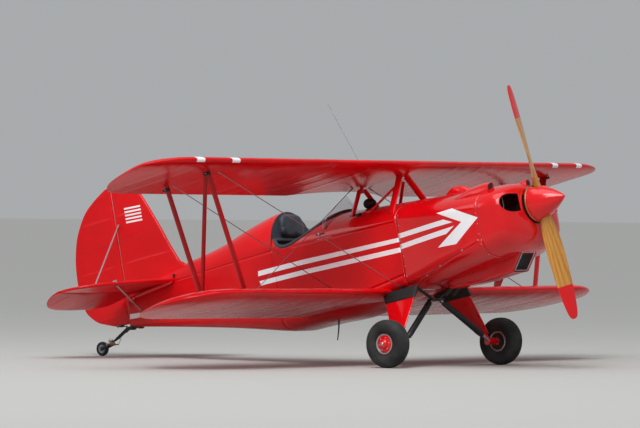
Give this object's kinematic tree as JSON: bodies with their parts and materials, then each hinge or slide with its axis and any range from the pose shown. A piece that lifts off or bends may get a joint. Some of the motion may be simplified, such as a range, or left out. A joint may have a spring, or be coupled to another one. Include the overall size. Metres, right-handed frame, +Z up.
{
  "type": "sport biplane",
  "caption": "Small open-cockpit sport biplane parked on tail-wheel gear, with staggered wire-braced wings, wooden propeller and hinged control surfaces.",
  "frame": {"origin": "on the floor, under the middle of the parked aircraft's length and on its centre plane", "axes": "+X towards the nose along the floor, +Y to the port wing tip, +Z up; the airframe stands nose up by its parked angle"},
  "size_m": [5.34, 5.965, 2.3169],
  "materials": {
    "red_fabric": "gloss",
    "red_metal": "gloss",
    "bare_steel": "satin",
    "black_steel": "satin",
    "engine_metal": "satin",
    "panel_black": "matte",
    "floor_wood": "satin",
    "prop_wood": "gloss",
    "tyre_rubber": "matte",
    "padding": "satin",
    "clear_plastic": "gloss"
  },
  "bodies": {
    "airframe": {"belly": "red_fabric", "belly_aerial": "bare_steel", "cabane_strut_front": "red_metal", "cabane_strut_rear": "red_metal", "chin_scoop": "red_metal", "cockpit_coaming": "padding", "cockpit_floor": "floor_wood", "control_stick": "black_steel", "cowl_lower": "red_metal", "cowl_upper": "red_metal", "engine_block": "engine_metal", "fin": "red_fabric", "firewall": "bare_steel", "flying_wire_front_left": "bare_steel", "flying_wire_front_right": "bare_steel", "flying_wire_rear_left": "bare_steel", "flying_wire_rear_right": "bare_steel", "forward_deck": "red_metal", "fuselage_side_left": "red_fabric", "fuselage_side_right": "red_fabric", "gear_leg_left": "red_metal", "gear_leg_right": "red_metal", "gear_vee": "black_steel", "headrest": "padding", "instrument_panel": "panel_black", "interplane_strut_left": "red_metal", "interplane_strut_right": "red_metal", "landing_wire_left": "bare_steel", "landing_wire_right": "bare_steel", "lower_wing_left": "red_fabric", "lower_wing_right": "red_fabric", "nose_bowl": "red_metal", "rear_fuselage": "red_fabric", "seat": "panel_black", "shock_strut_left": "black_steel", "shock_strut_right": "black_steel", "stabiliser_left": "red_fabric", "stabiliser_right": "red_fabric", "tail_brace_lower_left": "bare_steel", "tail_brace_lower_right": "bare_steel", "tail_brace_upper_left": "bare_steel", "tail_brace_upper_right": "bare_steel", "tail_spring": "black_steel", "turtledeck": "red_fabric", "upper_wing": "red_fabric", "whip_antenna": "bare_steel", "windshield": "clear_plastic"},
    "propeller_assembly": {"propeller": "prop_wood", "spinner": "red_metal"},
    "main_wheel_left": {"tyre_left": "tyre_rubber", "wheel_left": "red_metal"},
    "main_wheel_right": {"tyre_right": "tyre_rubber", "wheel_right": "red_metal"},
    "tail_wheel_fork": {"tail_fork": "black_steel"},
    "tail_wheel_roller": {"tail_wheel": "tyre_rubber"},
    "rudder_surface": {"rudder": "red_fabric"},
    "elevator_surface": {"elevator": "red_fabric"},
    "aileron_surface_left": {"aileron_left": "red_fabric"},
    "aileron_surface_right": {"aileron_right": "red_fabric"}
  },
  "joints": [
    {"name": "propeller_spin", "type": "hinge", "parent": "airframe", "child": "propeller_assembly", "pos_m": [2.42695, 0, 1.3647], "axis": [0.9763, 0, 0.2164], "continuous": true},
    {"name": "main_wheel_left_spin", "type": "hinge", "parent": "airframe", "child": "main_wheel_left", "pos_m": [1.43803, 0.755, 0.198], "axis": [0, 1, 0], "continuous": true},
    {"name": "main_wheel_right_spin", "type": "hinge", "parent": "airframe", "child": "main_wheel_right", "pos_m": [1.43803, -0.755, 0.198], "axis": [0, 1, 0], "continuous": true},
    {"name": "tail_wheel_steer", "type": "hinge", "parent": "airframe", "child": "tail_wheel_fork", "pos_m": [-2.24107, 0, 0.12355], "axis": [0, 0, 1], "range_deg": [-35, 35]},
    {"name": "tail_wheel_spin", "type": "hinge", "parent": "tail_wheel_fork", "child": "tail_wheel_roller", "pos_m": [-2.35238, 0, 0.062], "axis": [0, 1, 0], "continuous": true},
    {"name": "rudder_hinge", "type": "hinge", "parent": "airframe", "child": "rudder_surface", "pos_m": [-2.05718, 0, 0.37059], "axis": [-0.2164, 0, 0.9763], "range_deg": [-25, 25]},
    {"name": "elevator_hinge", "type": "hinge", "parent": "airframe", "child": "elevator_surface", "pos_m": [-1.9318, 0, 0.56739], "axis": [0, 1, 0], "range_deg": [-13, 37]},
    {"name": "aileron_left_hinge", "type": "hinge", "parent": "airframe", "child": "aileron_surface_left", "pos_m": [0.42329, 1.08, 0.44807], "axis": [-0.0011, 1, 0.0051], "range_deg": [-20, 20]},
    {"name": "aileron_right_hinge", "type": "hinge", "parent": "airframe", "child": "aileron_surface_right", "pos_m": [0.42329, -1.08, 0.44807], "axis": [0.0011, 1, -0.0051], "range_deg": [-20, 20]}
  ]
}
